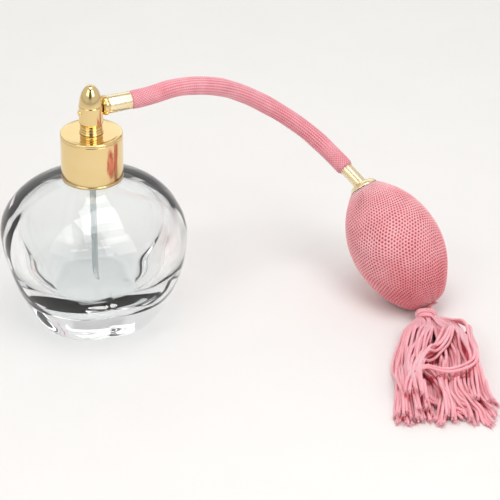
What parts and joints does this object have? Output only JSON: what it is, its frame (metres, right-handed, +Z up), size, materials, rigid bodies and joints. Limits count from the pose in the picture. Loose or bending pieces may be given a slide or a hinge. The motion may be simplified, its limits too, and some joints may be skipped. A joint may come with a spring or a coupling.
{
  "type": "perfume bottle with bulb atomiser",
  "caption": "Apple-shaped clear glass perfume bottle with a screw collar, spray head, braided hose, netted squeeze bulb and tassel.",
  "frame": {"origin": "centre of the bottle's flat base, on the table", "axes": "+Z up along the bottle's axis, -Y towards the viewer, hose and bulb towards +X"},
  "size_m": [0.1987, 0.1299, 0.1045],
  "materials": {
    "glass_clear": "thick clear polished glass",
    "gold_polished": "mirror-polished gold plating",
    "plastic_white": "moulded natural polypropylene",
    "plastic_clear": "translucent extruded tube",
    "gasket_foam": "soft closed-cell sealing washer",
    "rubber_inner": "matt latex rubber",
    "braid_pink": "tightly braided satin yarn",
    "net_pink": "knitted net over rubber",
    "tassel_pink": "twisted satin cord",
    "steel_ball": "polished steel ball"
  },
  "bodies": {
    "bottle": {"glass_bottle": "glass_clear"},
    "closure": {"neck_gasket": "gasket_foam"},
    "collar": {"collar_insert": "plastic_white", "collar_shell": "gold_polished"},
    "head": {"head_flange": "gold_polished", "head_body": "gold_polished", "head_dome": "gold_polished", "spray_core": "plastic_white", "nozzle_jet": "gold_polished", "dip_tube": "plastic_clear", "arm_ring": "gold_polished", "hose_nipple": "gold_polished", "hose_ferrule": "gold_polished", "hose_tube": "rubber_inner", "hose_braid": "braid_pink", "bulb_stem": "gold_polished", "bulb_cup": "gold_polished", "outlet_seat": "plastic_white", "outlet_cage": "plastic_white", "bulb_rubber": "rubber_inner", "bulb_net": "net_pink", "intake_body": "gold_polished", "intake_cage": "plastic_white"},
    "outlet_check": {"outlet_ball": "steel_ball"},
    "intake_check": {"intake_ball": "steel_ball"},
    "tassel": {"tassel_cord": "tassel_pink", "tassel_knot": "tassel_pink", "tassel_skirt": "tassel_pink"}
  },
  "joints": [
    {"name": "closure_lift", "type": "slide", "parent": "bottle", "child": "closure", "axis": [0, 0, 1], "range_m": [0, 0.00375]},
    {"name": "collar_turn", "type": "hinge", "parent": "closure", "child": "collar", "pos_m": [0, 0, 0.074], "axis": [0, 0, 1], "range_deg": [0, 450.1]},
    {"name": "head_swivel", "type": "hinge", "parent": "closure", "child": "head", "pos_m": [0, 0, 0.083], "axis": [0, 0, 1], "continuous": true},
    {"name": "outlet_lift", "type": "slide", "parent": "head", "child": "outlet_check", "axis": [-0.6825, 0.5135, 0.52], "range_m": [0, 0.0008]},
    {"name": "intake_lift", "type": "slide", "parent": "head", "child": "intake_check", "axis": [-0.4924, 0.5566, 0.6691], "range_m": [0, 0.0008]},
    {"name": "tassel_swing", "type": "hinge", "parent": "head", "child": "tassel", "pos_m": [0.1397, 0.00203, 0.00442], "axis": [0, 0, 1], "range_deg": [-4, 25]}
  ],
  "couplings": [
    {"joint": "collar_turn", "follows": "closure_lift", "rad_per_m": 2094.4}
  ]
}
